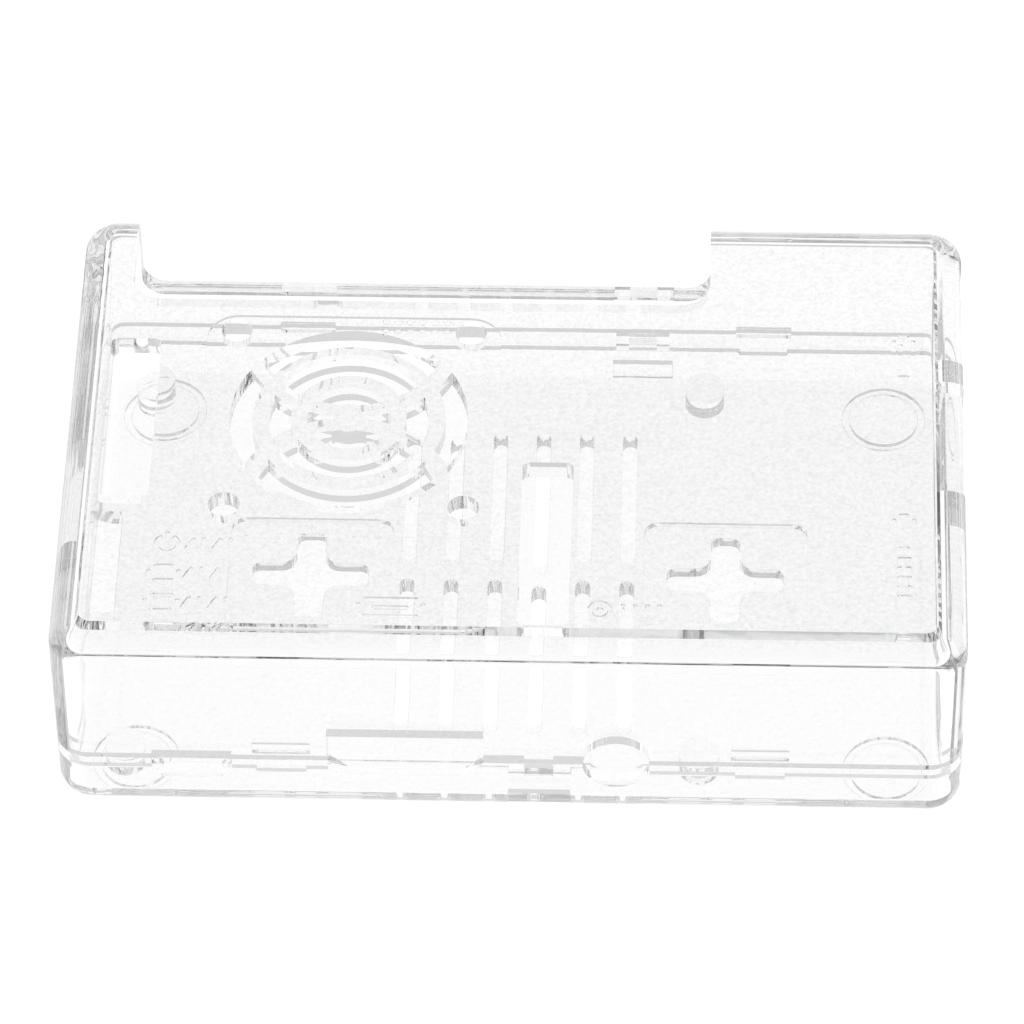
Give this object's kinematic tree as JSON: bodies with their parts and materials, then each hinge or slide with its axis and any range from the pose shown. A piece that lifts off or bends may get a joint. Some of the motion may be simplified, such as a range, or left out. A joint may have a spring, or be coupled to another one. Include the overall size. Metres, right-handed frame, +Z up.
{
  "type": "single-board computer case",
  "caption": "Clear snap-fit case for a credit-card-size single-board computer: vented tray with board posts under a lift-off cover with fan grille, header notch and port openings.",
  "frame": {"origin": "centre of the case's underside, in the plane it stands on", "axes": "+X along the long side towards the network and USB openings, -Y towards the side with the power, video and audio openings, +Z up"},
  "size_m": [0.091, 0.06, 0.0255],
  "materials": {
    "clear_plastic_cover": "water-clear, polished",
    "clear_plastic_tray": "water-clear, polished"
  },
  "bodies": {
    "tray": {"bottom_tray": "clear_plastic_tray"},
    "lid": {"top_cover": "clear_plastic_cover"}
  },
  "joints": [
    {"name": "lid_lift", "type": "slide", "parent": "tray", "child": "lid", "axis": [0, 0, 1], "range_m": [0, 0.03]}
  ]
}
